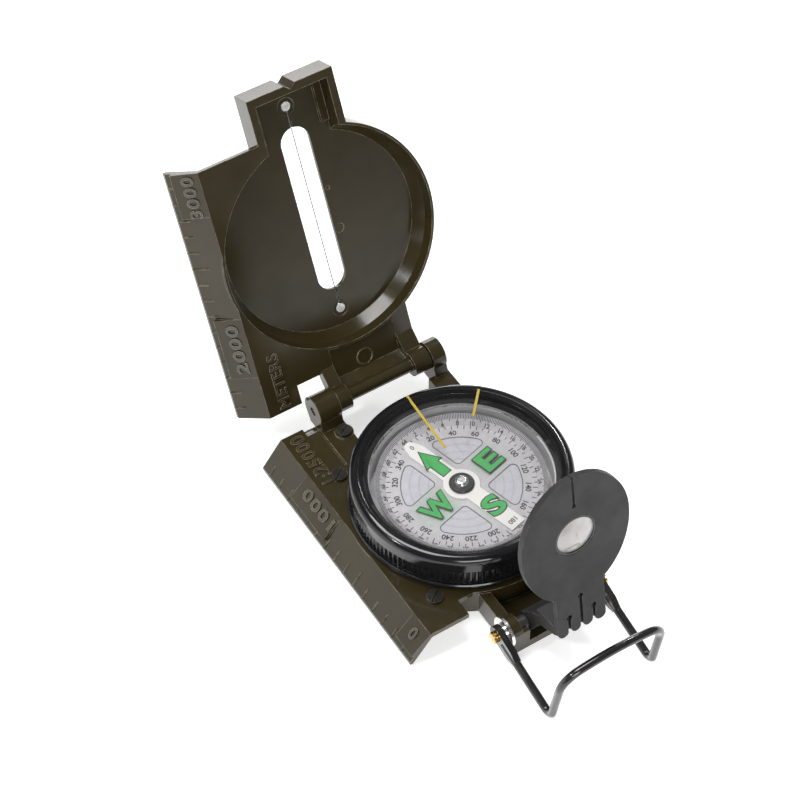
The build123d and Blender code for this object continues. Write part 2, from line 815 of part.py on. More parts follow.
with BuildPart() as washers:
    for side in (-1, 1):
        for thickness, radius in ((0.7, 3.6), (1.0, 2.0)):
            with BuildSketch(across(side * wall_outer)):
                with Locations((pivot_y, pivot_z)):
                    Circle(radius)
                    Circle(screw_radius, mode=Mode.SUBTRACT)
            extrude(amount=side * thickness)
washers.part.label = "thumb_loop_washers"
export_step(washers.part, "parts/thumb_loop_washers.step")

with BuildPart() as loop_screws:
    for side in (-1, 1):
        with BuildSketch(across(side * 9.9)):
            with Locations((pivot_y, pivot_z)):
                Circle(screw_radius)
        extrude(amount=side * 3.9)
        with BuildSketch(across(side * 13.8)):
            with Locations((pivot_y, pivot_z)):
                Circle(1.35)
        extrude(amount=side * 0.85)
        with BuildSketch(across(side * 14.3)):
            with Locations((pivot_y, pivot_z)):
                Rectangle(0.4, 3.0, rotation=30)
        extrude(amount=side * 1.0, mode=Mode.SUBTRACT)
loop_screws.part.label = "thumb_loop_screws"
export_step(loop_screws.part, "parts/thumb_loop_screws.step")

# ---------------------------------------------------------------- thumb loop
# one bent wire: two arms that slope down to the rear, and an arch that stands up from them
arm_way = Vector(0, -cos(radians(loop_drop)), -sin(radians(loop_drop)))
arch_way = Vector(0, -sin(radians(loop_lean)), cos(radians(loop_lean)))
sideways = Vector(1, 0, 0)
pivot = Vector(0, pivot_y, pivot_z)
bend_cut = 2.3
heel = pivot + sideways * loop_half + arm_way * loop_arm
leg_top = heel - sideways * 0.25 + arch_way * 12.7
crown_start = heel - sideways * 4.4 + arch_way * 17.75
leg_way = (leg_top - heel).normalized()
arm_start = pivot + sideways * loop_half + arm_way * 2.2
arm_end = heel - arm_way * bend_cut
leg_start = heel + leg_way * bend_cut


def mirrored(point):
    """The same point on the other side of the compass."""
    return Vector(-point.X, point.Y, point.Z)


with BuildPart() as loop:
    with BuildLine():
        Line(arm_start, arm_end)
        knee = TangentArc(arm_end, leg_start, tangent=arm_way)
        Line(leg_start, leg_top)
        shoulder = TangentArc(leg_top, crown_start, tangent=leg_way)
        TangentArc(crown_start, mirrored(crown_start), tangent=shoulder % 1)
        ThreePointArc(mirrored(crown_start), mirrored(shoulder @ 0.5), mirrored(leg_top))
        Line(mirrored(leg_top), mirrored(leg_start))
        ThreePointArc(mirrored(leg_start), mirrored(knee @ 0.5), mirrored(arm_end))
        Line(mirrored(arm_end), mirrored(arm_start))
    with BuildSketch(Plane(origin=arm_start, z_dir=arm_way)):
        Circle(loop_wire)
    sweep()
    # flattened ends, each with its eye
    for side in (-1, 1):
        with BuildSketch(Plane(origin=pivot, x_dir=arm_way, z_dir=(side, 0, 0)).offset(12.15)):
            with BuildLine():
                Polyline((0, 2.3), (5.2, 2.0), (7.4, 0.9), (7.4, -0.9), (5.2, -2.0), (0, -2.3), close=True)
            make_face()
            Circle(2.3)
        extrude(amount=1.5)
    with BuildSketch(across(-16)):
        with Locations((pivot_y, pivot_z)):
            Circle(screw_radius + 0.07)
    extrude(amount=32, mode=Mode.SUBTRACT)
loop.part.label = "thumb_loop"
export_step(loop.part, "parts/thumb_loop.step")
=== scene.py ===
"""Looks of the sighting compass: materials, lettering, dial print, light and camera."""
import json
from math import atan2, cos, hypot, pi, radians, sin, sqrt

import bpy
from mathutils import Matrix, Vector


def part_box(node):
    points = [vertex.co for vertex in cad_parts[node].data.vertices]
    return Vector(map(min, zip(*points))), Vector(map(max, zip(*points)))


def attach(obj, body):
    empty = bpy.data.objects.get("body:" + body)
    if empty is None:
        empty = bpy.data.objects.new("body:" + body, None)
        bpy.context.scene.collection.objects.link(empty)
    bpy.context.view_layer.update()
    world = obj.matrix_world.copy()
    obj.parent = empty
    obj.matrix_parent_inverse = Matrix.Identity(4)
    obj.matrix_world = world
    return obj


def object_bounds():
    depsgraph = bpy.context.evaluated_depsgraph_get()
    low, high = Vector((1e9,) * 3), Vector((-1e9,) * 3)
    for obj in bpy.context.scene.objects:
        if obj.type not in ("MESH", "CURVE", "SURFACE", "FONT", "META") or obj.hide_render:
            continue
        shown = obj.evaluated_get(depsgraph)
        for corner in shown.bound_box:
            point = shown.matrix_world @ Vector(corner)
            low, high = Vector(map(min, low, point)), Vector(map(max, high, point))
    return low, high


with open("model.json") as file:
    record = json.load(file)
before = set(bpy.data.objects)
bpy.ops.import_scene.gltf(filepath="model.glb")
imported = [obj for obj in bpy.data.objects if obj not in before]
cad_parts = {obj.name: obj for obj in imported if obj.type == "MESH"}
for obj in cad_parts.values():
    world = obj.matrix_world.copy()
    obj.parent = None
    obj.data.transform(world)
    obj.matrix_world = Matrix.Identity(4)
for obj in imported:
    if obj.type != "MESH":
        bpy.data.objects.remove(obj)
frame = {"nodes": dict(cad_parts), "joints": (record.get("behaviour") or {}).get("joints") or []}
cad_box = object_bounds()
nodes = frame["nodes"]
MM = 0.001

# ---------------------------------------------------------------- places read from the frame
hinge = next(joint for joint in frame["joints"] if joint["name"] == "cover_hinge")
HINGE_POINT = Vector(hinge["pos_m"])
COVER_ANGLE = radians(113.94)
DIAL_HEADING = radians(15.0)
CARD_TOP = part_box("north_south_bar")[0][2]
BAR_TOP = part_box("north_south_bar")[1][2]
CONE_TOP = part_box("dial_card")[1][2]
DECK_TOP = 7.7 * MM
DECK_LEFT = -25.7 * MM
SLOPE_RUN = 5.1 * MM
SLOPE_RISE = 6.55 * MM
PAD_TILT = atan2(0.9, 6.6)
RIM_Z = 14.4 * MM
PRINT = 0.03 * MM
DIAL_FRAME = Matrix.Rotation(DIAL_HEADING, 4, "Z")
COVER_FRAME = (
    Matrix.Translation(HINGE_POINT) @ Matrix.Rotation(-COVER_ANGLE, 4, "X") @ Matrix.Translation(-HINGE_POINT)
)


# ---------------------------------------------------------------- material helpers
def new_material(name):
    """An empty node material: (material, node tree, Principled shader)."""
    material = bpy.data.materials.new(name)
    material.use_nodes = True
    tree = material.node_tree
    return material, tree, tree.nodes["Principled BSDF"]


def object_coords(tree):
    return tree.nodes.new("ShaderNodeTexCoord").outputs["Object"]


def noise(tree, scale, detail=4.0, roughness=0.55, coords=None):
    """Noise over the object; scale is in cells per metre."""
    node = tree.nodes.new("ShaderNodeTexNoise")
    node.inputs["Scale"].default_value = scale
    node.inputs["Detail"].default_value = detail
    node.inputs["Roughness"].default_value = roughness
    tree.links.new(coords or object_coords(tree), node.inputs["Vector"])
    return node.outputs["Fac"]


def ramp(tree, source, stops):
    """Colour ramp over a value; stops are (place, colour) pairs."""
    node = tree.nodes.new("ShaderNodeValToRGB")
    first, last = node.color_ramp.elements
    first.position, first.color = stops[0][0], (*stops[0][1], 1)
    last.position, last.color = stops[-1][0], (*stops[-1][1], 1)
    for place, colour in stops[1:-1]:
        middle = node.color_ramp.elements.new(place)
        middle.color = (*colour, 1)
    tree.links.new(source, node.inputs["Fac"])
    return node.outputs["Color"]


def spread(tree, source, low, high, start=0.35, end=0.65):
    """Maps a noise value to the range low to high."""
    node = tree.nodes.new("ShaderNodeMapRange")
    node.inputs["From Min"].default_value = start
    node.inputs["From Max"].default_value = end
    node.inputs["To Min"].default_value = low
    node.inputs["To Max"].default_value = high
    tree.links.new(source, node.inputs["Value"])
    return node.outputs["Result"]


def bump(tree, shader, height, strength, distance, normal=None):
    node = tree.nodes.new("ShaderNodeBump")
    node.inputs["Strength"].default_value = strength
    node.inputs["Distance"].default_value = distance
    tree.links.new(height, node.inputs["Height"])
    if normal is not None:
        tree.links.new(normal, node.inputs["Normal"])
    tree.links.new(node.outputs["Normal"], shader.inputs["Normal"])


def mix_colour(tree, factor, first, second):
    node = tree.nodes.new("ShaderNodeMix")
    node.data_type = "RGBA"
    tree.links.new(factor, node.inputs["Factor"])
    for socket, value in ((node.inputs[6], first), (node.inputs[7], second)):
        if isinstance(value, tuple):
            socket.default_value = (*value, 1)
        else:
            tree.links.new(value, socket)
    return node.outputs[2]


def soft_edges(tree, radius):
    """Rounded-edge normal, and a mask that is 1 along edges."""
    rounded = tree.nodes.new("ShaderNodeBevel")
    rounded.samples = 6
    rounded.inputs["Radius"].default_value = radius
    geometry = tree.nodes.new("ShaderNodeNewGeometry")
    dot = tree.nodes.new("ShaderNodeVectorMath")
    dot.operation = "DOT_PRODUCT"
    tree.links.new(rounded.outputs["Normal"], dot.inputs[0])
    tree.links.new(geometry.outputs["Normal"], dot.inputs[1])
    mask = tree.nodes.new("ShaderNodeMapRange")
    mask.inputs["From Min"].default_value = 0.995
    mask.inputs["From Max"].default_value = 0.85
    tree.links.new(dot.outputs["Value"], mask.inputs["Value"])
    return rounded.outputs["Normal"], mask.outputs["Result"]


def multiply(tree, first, second):
    node = tree.nodes.new("ShaderNodeMath")
    node.operation = "MULTIPLY"
    tree.links.new(first, node.inputs[0])
    tree.links.new(second, node.inputs[1])
    return node.outputs["Value"]


def coated(name, dark, light, rough, coat, grain, edge=None, edge_radius=0.25 * MM, grain_depth=0.02 * MM):
    """Painted or moulded surface: mottled colour, uneven gloss, fine grain and lighter edges, which are
    partly worn paint and partly painted highlight.

    dark to light is the mottling, rough the range of roughness, coat the weight of the clear coat,
    grain the noise scale of the relief and edge the lighter colour along edges, standing for worn paint and
    for painted glints.
    """
    material, tree, shader = new_material(name)
    colour = ramp(tree, noise(tree, 90.0, 6.0), ((0.3, dark), (0.72, light)))
    rounded, mask = soft_edges(tree, edge_radius)
    if edge is not None:
        # lighter edge colour: worn paint, and a painted highlight standing in for glints on edges
        wear_and_glint = multiply(tree, mask, spread(tree, noise(tree, 500.0, 5.0), 0.15, 0.9, 0.4, 0.62))
        colour = mix_colour(tree, wear_and_glint, colour, edge)
    tree.links.new(colour, shader.inputs["Base Color"])
    tree.links.new(spread(tree, noise(tree, 240.0, 5.0), rough[0], rough[1]), shader.inputs["Roughness"])
    shader.inputs["Specular IOR Level"].default_value = 0.3
    shader.inputs["Coat Weight"].default_value = coat
    shader.inputs["Coat Roughness"].default_value = 0.12
    bump(tree, shader, noise(tree, grain, 3.0), 0.35, grain_depth, rounded)
    return material


def metal(name, dark, light, rough, relief=0.12):
    """Bare metal with slightly uneven polish."""
    material, tree, shader = new_material(name)
    colour = ramp(tree, noise(tree, 400.0, 5.0), ((0.3, dark), (0.7, light)))
    tree.links.new(colour, shader.inputs["Base Color"])
    shader.inputs["Metallic"].default_value = 1.0
    tree.links.new(spread(tree, noise(tree, 900.0, 4.0), rough[0], rough[1]), shader.inputs["Roughness"])
    bump(tree, shader, noise(tree, 2500.0, 2.0), relief, 0.01 * MM)
    return material


def clear(name, low, high):
    """Thin clear plastic: mostly straight through, with a faint uneven reflection."""
    material, tree, shader = new_material(name)
    shader.inputs["Base Color"].default_value = (1, 1, 1, 1)
    shader.inputs["Metallic"].default_value = 1.0
    tree.links.new(spread(tree, noise(tree, 120.0, 6.0), 0.03, 0.08), shader.inputs["Roughness"])
    tree.links.new(spread(tree, noise(tree, 45.0, 5.0), low, high), shader.inputs["Alpha"])
    return material


def printed(name, dark, light, rough=0.5):
    """Printing ink: nearly even, with a little dot grain."""
    material, tree, shader = new_material(name)
    colour = ramp(tree, noise(tree, 3000.0, 3.0), ((0.3, dark), (0.7, light)))
    tree.links.new(colour, shader.inputs["Base Color"])
    shader.inputs["Roughness"].default_value = rough
    bump(tree, shader, noise(tree, 6000.0, 2.0), 0.1, 0.005 * MM)
    return material


# ---------------------------------------------------------------- materials
olive = coated(
    "olive_enamel", (0.026, 0.0195, 0.007), (0.034, 0.026, 0.0095), (0.13, 0.22), 0.25, 700.0,
    (0.34, 0.3, 0.2),
)
# Lettering: a lighter copy of the olive enamel with brighter edges, a painted highlight on the raised letters
highlit_lettering_olive = coated(
    "olive_lettering_painted_highlight", (0.034, 0.027, 0.012), (0.05, 0.04, 0.019), (0.08, 0.16), 0.8, 1200.0,
    (0.6, 0.55, 0.44), 0.14 * MM,
)
screw_paint = coated(
    "screw_enamel", (0.012, 0.011, 0.008), (0.022, 0.02, 0.015), (0.15, 0.28), 0.6, 900.0,
    (0.3, 0.28, 0.24), 0.12 * MM,
)
bezel_black = coated(
    "bezel_black", (0.004, 0.004, 0.005), (0.009, 0.009, 0.01), (0.1, 0.18), 0.3, 900.0, (0.05, 0.05, 0.055),
    0.18 * MM, 0.006 * MM,
)
leaf_grey = coated(
    "eyepiece_grey", (0.017, 0.016, 0.016), (0.026, 0.0245, 0.0245), (0.42, 0.56), 0.0, 5200.0,
    (0.16, 0.155, 0.15),
    0.22 * MM, 0.025 * MM,
)
wire_black = coated(
    "loop_black", (0.009, 0.008, 0.008), (0.02, 0.018, 0.017), (0.16, 0.3), 0.7, 900.0,
    (0.1, 0.08, 0.07), 0.15 * MM,
)
hub_black = coated(
    "hub_black", (0.02, 0.02, 0.021), (0.04, 0.04, 0.041), (0.25, 0.4), 0.3, 1500.0,
    (0.2, 0.2, 0.2), 0.15 * MM,
)
gasket_black = coated(
    "gasket_rubber", (0.008, 0.008, 0.008), (0.02, 0.02, 0.02), (0.5, 0.7), 0.0, 2500.0, None, 0.1 * MM
)
cup_grey = coated(
    "capsule_grey", (0.68, 0.67, 0.68), (0.78, 0.77, 0.78), (0.3, 0.45), 0.3, 1400.0,
    (0.72, 0.72, 0.72), 0.15 * MM,
)
dial_white = coated(
    "dial_white", (0.82, 0.8, 0.77), (0.9, 0.88, 0.86), (0.35, 0.5), 0.1, 2500.0, (0.95, 0.94, 0.93), 0.1 * MM
)
chrome = metal("bright_chrome", (0.8, 0.8, 0.78), (0.93, 0.93, 0.91), (0.16, 0.3), 0.02)
steel = metal("pin_steel", (0.34, 0.34, 0.34), (0.5, 0.5, 0.5), (0.25, 0.4))
wire_steel = metal("sight_wire_steel", (0.16, 0.16, 0.165), (0.28, 0.28, 0.28), (0.3, 0.45))
magnet_dark = metal("magnet_dark", (0.09, 0.09, 0.09), (0.16, 0.16, 0.16), (0.4, 0.6))
brass = metal("bright_brass", (0.62, 0.36, 0.09), (0.86, 0.58, 0.2), (0.15, 0.3))
crystal = clear("crystal_clear", 0.03, 0.06)
window_clear = clear("window_clear", 0.02, 0.035)
jewel_red = printed("jewel_red", (0.3, 0.02, 0.04), (0.45, 0.04, 0.07), 0.1)
ink_black = printed("ink_black", (0.018, 0.018, 0.02), (0.04, 0.04, 0.042))
# dark band round the dial windows: painted shade along their cut edges
window_edge_shade = printed("window_edge_shade", (0.1, 0.1, 0.105), (0.16, 0.16, 0.165))
ink_green = printed("ink_green", (0.03, 0.36, 0.07), (0.05, 0.47, 0.1), 0.4)
lume_yellow = printed("lume_yellow", (0.36, 0.25, 0.008), (0.5, 0.37, 0.015), 0.4)


def dial_grey_material():
    """Dial card: light grey, with a painted green glow round the three luminous letters."""
    material, tree, shader = new_material("dial_grey")
    coords = object_coords(tree)
    card_shades = ((0.3, (0.5, 0.485, 0.505)), (0.7, (0.58, 0.565, 0.585)))
    colour = ramp(tree, noise(tree, 700.0, 5.0, coords=coords), card_shades)
    # painted glow: pale green mixed into the card's colour near each luminous letter
    for u, v, reach in ((9.1, 0.1, 5.2), (-8.3, -0.4, 6.6), (0.4, -9.1, 4.6)):
        centre = DIAL_FRAME @ Vector((u * MM, v * MM, CARD_TOP))
        distance = tree.nodes.new("ShaderNodeVectorMath")
        distance.operation = "DISTANCE"
        tree.links.new(coords, distance.inputs[0])
        distance.inputs[1].default_value = centre
        painted_glow = spread(tree, distance.outputs["Value"], 0.55, 0.0, 0.3 * reach * MM, reach * MM)
        colour = mix_colour(tree, painted_glow, colour, (0.28, 0.5, 0.32))
    tree.links.new(colour, shader.inputs["Base Color"])
    shader.inputs["Roughness"].default_value = 0.5
    bump(tree, shader, noise(tree, 3200.0, 3.0), 0.2, 0.01 * MM)
    return material


def pane_material():
    """Window panes of the dial: smooth light grey with faint moulding rings about the dial's axis."""
    material, tree, shader = new_material("pane_grey")
    coords = object_coords(tree)
    rings = tree.nodes.new("ShaderNodeTexWave")
    rings.wave_type = "RINGS"
    rings.rings_direction = "Z"
    rings.inputs["Scale"].default_value = 150.0
    tree.links.new(coords, rings.inputs["Vector"])
    pane_shades = ((0.3, (0.53, 0.52, 0.57)), (0.7, (0.6, 0.585, 0.64)))
    colour = ramp(tree, noise(tree, 500.0, coords=coords), pane_shades)
    faint = spread(tree, rings.outputs["Fac"], 0.0, 0.3, 0.8, 1.0)
    tree.links.new(mix_colour(tree, faint, colour, (0.34, 0.335, 0.37)), shader.inputs["Base Color"])
    shader.inputs["Roughness"].default_value = 0.25
    bump(tree, shader, rings.outputs["Fac"], 0.15, 0.03 * MM)
    return material


def lens_material():
    """Eyepiece lens: pale glass; its pale grey colour is a painted reflection of the bright surroundings it
    shows.
    """
    material, tree, shader = new_material("lens_glass")
    # pale grey base colour: painted reflection of the bright surroundings
    tree.links.new(
        ramp(tree, noise(tree, 130.0, 3.0), ((0.35, (0.33, 0.31, 0.3)), (0.62, (0.6, 0.58, 0.56)))),
        shader.inputs["Base Color"],
    )
    shader.inputs["Roughness"].default_value = 0.08
    shader.inputs["Coat Weight"].default_value = 1.0
    shader.inputs["Coat Roughness"].default_value = 0.03
    shader.inputs["Alpha"].default_value = 0.78
    bump(tree, shader, noise(tree, 250.0, 2.0), 0.05, 0.02 * MM)
    return material


NODE_MATERIALS = {
    olive: ("base_casting", "cover_casting"),
    screw_paint: ("casing_screws",),
    steel: ("hinge_pin", "eyepiece_hinge_pin", "bezel_snap_ring", "bezel_washer", "pivot_needle"),
    wire_steel: ("sighting_wire",),
    chrome: ("wire_pins", "hub_cap", "thumb_loop_washers"),
    brass: ("thumb_loop_screws", "pivot_post"),
    bezel_black: ("bezel_ring",),
    gasket_black: ("crystal_gasket",),
    crystal: ("bezel_crystal",),
    window_clear: ("capsule_window",),
    lume_yellow: ("course_lines",),
    cup_grey: ("capsule_cup",),
    dial_grey_material(): ("dial_card",),
    dial_white: ("north_south_bar",),
    magnet_dark: ("dial_magnet",),
    hub_black: ("hub_collar", "eyepiece_lens_ring", "eyepiece_spacers"),
    jewel_red: ("pivot_jewel",),
    leaf_grey: ("eyepiece_bracket",),
    lens_material(): ("eyepiece_lens",),
    wire_black: ("thumb_loop",),
}


def dress_nodes():
    """Gives every CAD node its material."""
    for material, names in NODE_MATERIALS.items():
        for name in names:
            node = nodes[name]
            node.data.materials.clear()
            node.data.materials.append(material)


# ---------------------------------------------------------------- piece helpers
def add_piece(name, mesh, material, body):
    """Puts a finished mesh in the scene, riding on a body."""
    piece = bpy.data.objects.new(name, mesh)
    bpy.context.scene.collection.objects.link(piece)
    mesh.materials.clear()
    mesh.materials.append(material)
    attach(piece, body)
    return piece


def text_mesh(words, height, depth, weight=0.0, width=None, spacing=1.0):
    """Raised text as (points, faces), centred on the origin, `height` tall from base line to cap line."""
    curve = bpy.data.curves.new("words", "FONT")
    curve.body = words
    curve.size = 1.0
    curve.space_character = spacing
    curve.extrude = 0.05
    curve.offset = weight
    curve.resolution_u = 4
    holder = bpy.data.objects.new("words", curve)
    bpy.context.scene.collection.objects.link(holder)
    bpy.context.view_layer.update()
    mesh = bpy.data.meshes.new_from_object(holder.evaluated_get(bpy.context.evaluated_depsgraph_get()))
    bpy.data.objects.remove(holder)
    bpy.data.curves.remove(curve)
    low = [min(v.co[axis] for v in mesh.vertices) for axis in range(3)]
    high = [max(v.co[axis] for v in mesh.vertices) for axis in range(3)]
    grow = height / (high[1] - low[1])
    stretch = width / (high[0] - low[0]) if width else grow
    points = []
    for vertex in mesh.vertices:
        x = (vertex.co.x - (low[0] + high[0]) / 2) * stretch
        y = (vertex.co.y - (low[1] + high[1]) / 2) * grow
        z = (vertex.co.z - low[2]) / (high[2] - low[2]) * depth
        points.append(Vector((x, y, z)))
    faces = [tuple(face.vertices) for face in mesh.polygons]
    bpy.data.meshes.remove(mesh)
    return points, faces


def gather(name, shapes):
    """One mesh from several (points, faces, matrix) shapes."""
    points = []
    faces = []
    for shape_points, shape_faces, matrix in shapes:
        start = len(points)
        points.extend(matrix @ point for point in shape_points)
        faces.extend(tuple(start + index for index in face) for face in shape_faces)
    mesh = bpy.data.meshes.new(name)
    mesh.from_pydata(points, [], faces)
    mesh.validate()
    mesh.update()
    return mesh


def prism(outline, low, high):
    """Closed prism over a flat outline of (x, y) points, counter-clockwise."""
    count = len(outline)
    points = [Vector((x, y, low)) for x, y in outline] + [Vector((x, y, high)) for x, y in outline]
    faces = [tuple(range(count - 1, -1, -1)), tuple(range(count, 2 * count))]
    faces += [(i, (i + 1) % count, count + (i + 1) % count, count + i) for i in range(count)]
    return points, faces


def band(inner, outer, low, high):
    """Closed flat band between two outlines with the same number of points."""
    count = len(inner)
    points = []
    for z in (low, high):
        for outline in (inner, outer):
            points += [Vector((x, y, z)) for x, y in outline]
    faces = []
    for i in range(count):
        j = (i + 1) % count
        faces.append((2 * count + i, 2 * count + j, 3 * count + j, 3 * count + i)[::-1])
        faces.append((i, j, count + j, count + i))
        faces.append((count + i, count + j, 3 * count + j, 3 * count + i))
        faces.append((j, i, 2 * count + i, 2 * count + j))
    return points, faces


def tick_on_cone(bearing, inner, outer, width):
    """A printed tick from radius inner to outer; each end is (radius, z)."""
    points = []
    for lift in (0.0, PRINT):
        for (radius, z), side in ((inner, -1), (inner, 1), (outer, 1), (outer, -1)):
            points.append(Vector((side * width / 2, radius, z + lift)))
    faces = [(3, 2, 1, 0), (4, 5, 6, 7), (0, 1, 5, 4), (1, 2, 6, 5), (2, 3, 7, 6), (3, 0, 4, 7)]
    return points, faces, DIAL_FRAME @ Matrix.Rotation(-bearing, 4, "Z")


# ---------------------------------------------------------------- dial print
FLAT_EDGE = 16.8 * MM
CONE_EDGE = 19.1 * MM


def cone_height(radius):
    """Height of the card's top face at a radius."""
    climb = max(0.0, (radius - FLAT_EDGE) / (CONE_EDGE - FLAT_EDGE))
    return CARD_TOP + climb * (CONE_TOP - CARD_TOP)


def ring_numbers(values, full_turn, radius, height, tilt=0.0):
    """Numbers round the dial with their tops outward."""
    shapes = []
    for value in values:
        points, faces = text_mesh(str(value), height, PRINT, 0.022)
        spoke = DIAL_FRAME @ Matrix.Rotation(-2 * pi * value / full_turn, 4, "Z")
        place = Matrix.Translation((0, radius, cone_height(radius)))
        shapes.append((points, faces, spoke @ place @ Matrix.Rotation(tilt, 4, "X")))
    return shapes


def print_scales():
    """Degree and mil scales."""
    ticks = []
    for degree in range(0, 360, 5):
        start = 15.75 * MM if degree % 10 == 0 else 16.1 * MM
        ticks.append(tick_on_cone(radians(degree), (start, CARD_TOP), (FLAT_EDGE, CARD_TOP), 0.18 * MM))
    add_piece("dial_degree_ticks", gather("dial_degree_ticks", ticks), ink_black, "dial")
    ticks = []
    for step in range(320):
        start = (18.1 if step % 5 else 17.75) * MM
        ends = ((start, cone_height(start)), (CONE_EDGE - 0.05 * MM, cone_height(CONE_EDGE - 0.05 * MM)))
        ticks.append(tick_on_cone(2 * pi * step / 320, *ends, 0.15 * MM))
    add_piece("dial_mil_ticks", gather("dial_mil_ticks", ticks), ink_black, "dial")
    numbers = ring_numbers([d for d in range(20, 360, 20) if d != 180], 360, 14.75 * MM, 1.35 * MM)
    add_piece("dial_degree_numbers", gather("dial_degree_numbers", numbers), ink_black, "dial")
    slope = atan2(CONE_TOP - CARD_TOP, CONE_EDGE - FLAT_EDGE)
    numbers = ring_numbers(range(2, 65, 2), 64, 17.3 * MM, 1.05 * MM, slope)
    add_piece("dial_mil_numbers", gather("dial_mil_numbers", numbers), ink_black, "dial")


def print_letter(name, words, u, v, width, height):
    """A green letter with a black edge, upright to north."""
    place = DIAL_FRAME @ Matrix.Translation((u * MM, v * MM, BAR_TOP))
    edge = 0.42
    points, faces = text_mesh(words, (height + edge) * MM, PRINT, 0.075, (width + edge) * MM)
    mesh = gather(name + "_edge", [(points, faces, place)])
    add_piece(name + "_edge", mesh, ink_black, "dial")
    points, faces = text_mesh(words, (height - 0.1) * MM, PRINT * 2, 0.03, (width - 0.1) * MM)
    add_piece(name, gather(name, [(points, faces, place)]), ink_green, "dial")


def arrow_outline(grow):
    """North arrow outline in millimetres, grown all round."""
    shaft = 1.15 + grow
    head = 2.2 + 1.7 * grow
    tip = 12.8 + 2.2 * grow
    neck = 8.3 - grow
    tail = 4.4 - grow
    right_side = ((shaft, tail), (shaft, neck), (head, neck))
    left_side = ((-head, neck), (-shaft, neck))
    return [(x * MM, y * MM) for x, y in ((-shaft, tail), *right_side, (0, tip), *left_side)]


def sector_outline(side, north, reach, corner, steps=8):
    """Rounded sector window in the first quadrant, in millimetres, counter-clockwise."""
    corner_a = (side + corner, north + corner)
    corner_b = (sqrt((reach - corner) ** 2 - (north + corner) ** 2), north + corner)
    corner_c = (side + corner, sqrt((reach - corner) ** 2 - (side + corner) ** 2))
    turn_b = atan2(corner_b[1], corner_b[0])
    turn_c = atan2(corner_c[1], corner_c[0])
    stretches = (
        (corner_a, corner, pi, 1.5 * pi),
        (corner_b, corner, 1.5 * pi, 2 * pi + turn_b),
        ((0, 0), reach, turn_b, turn_c),
        (corner_c, corner, turn_c, pi),
    )
    outline = []
    for centre, radius, start, end in stretches:
        for step in range(steps + 1):
            angle = start + (end - start) * step / steps
            outline.append(((centre[0] + radius * cos(angle)) * MM, (centre[1] + radius * sin(angle)) * MM))
    return outline


def print_windows():
    """Dark band round each of the four windows, painted shade for the windows' dark cut edges."""
    line = 0.22
    inner = sector_outline(3.7, 4.3, 13.4, 1.0)
    outer = sector_outline(3.7 - line, 4.3 - line, 13.4 + line, 1.0 + line)
    points, faces = band(inner, outer, CARD_TOP, CARD_TOP + PRINT)
    shapes = []
    for east in (-1, 1):
        for north in (-1, 1):
            flip = Matrix.Diagonal((east, north, 1, 1))
            turned = faces if east * north > 0 else [face[::-1] for face in faces]
            shapes.append((points, turned, DIAL_FRAME @ flip))
    add_piece("dial_window_lines", gather("dial_window_lines", shapes), window_edge_shade, "dial")
    points, faces = prism(inner, CARD_TOP - 0.3 * MM, CARD_TOP - 0.06 * MM)
    panes = []
    for _, turned, matrix in shapes:
        kept = faces if matrix.determinant() > 0 else [face[::-1] for face in faces]
        panes.append((points, kept, matrix))
    add_piece("dial_window_panes", gather("dial_window_panes", panes), pane_material(), "dial")


def print_dial():
    print_scales()
    print_windows()
    print_letter("dial_letter_east", "E", 9.1, 0.1, 5.2, 5.3)
    print_letter("dial_letter_west", "W", -8.3, -0.4, 7.8, 5.4)
    print_letter("dial_letter_south", "S", 0.4, -9.1, 4.6, 5.4)
    points, faces = prism(arrow_outline(0.24), BAR_TOP, BAR_TOP + PRINT)
    mesh = gather("dial_arrow_edge", [(points, faces, DIAL_FRAME)])
    add_piece("dial_arrow_edge", mesh, ink_black, "dial")
    points, faces = prism(arrow_outline(0.0), BAR_TOP, BAR_TOP + 2 * PRINT)
    mesh = gather("dial_arrow", [(points, faces, DIAL_FRAME)])
    add_piece("dial_arrow", mesh, ink_green, "dial")
    shapes = []
    for words, v, turn in (("0", 14.9, 0.0), ("180", -14.9, pi)):
        points, faces = text_mesh(words, 1.2 * MM, PRINT, 0.012)
        place = DIAL_FRAME @ Matrix.Translation((0, v * MM, BAR_TOP)) @ Matrix.Rotation(turn, 4, "Z")
        shapes.append((points, faces, place))
    add_piece("dial_bar_numbers", gather("dial_bar_numbers", shapes), ink_black, "dial")


# ---------------------------------------------------------------- cast lettering
def lettering(name, words, size, centre, along, up, body, weight, width=None, depth=0.3 * MM):
    """Raised cast text: `along` is the reading direction and `up` points to the letters' tops."""
    points, faces = text_mesh(words, size, depth + 0.1 * MM, weight, width, spacing=1.1)
    along = along.normalized()
    up = up.normalized()
    face = along.cross(up)
    turn = Matrix((along, up, face)).transposed().to_4x4()
    place = Matrix.Translation(centre - face * 0.1 * MM) @ turn
    if body == "cover":
        place = COVER_FRAME @ place
    add_piece(name, gather(name, [(points, faces, place)]), highlit_lettering_olive, body)


def bevel_frame(sign, tilt):
    """Directions down a ruler bevel and out of it, tilted off it.

    sign is 1 on the base and -1 on the cover, whose bevel rises the other way.
    """
    length = hypot(SLOPE_RUN, SLOPE_RISE)
    down = Vector((-SLOPE_RUN / length, 0, -sign * SLOPE_RISE / length))
    out = Vector((-SLOPE_RISE / length, 0, sign * SLOPE_RUN / length))
    return down * cos(tilt) + out * sin(tilt), out * cos(tilt) - down * sin(tilt)


def pad_number(name, words, centre_y, edge_z, sign, body, width=None):
    """A cast number on its wedge-shaped pad; the tops of its figures face down the bevel."""
    down, _ = bevel_frame(sign, PAD_TILT)
    centre = Vector((DECK_LEFT, centre_y * MM, edge_z)) + down * 2.9 * MM
    along = Vector((0, sign, 0))
    lettering(name, words, 2.9 * MM, centre, along, down, body, 0.02, width)


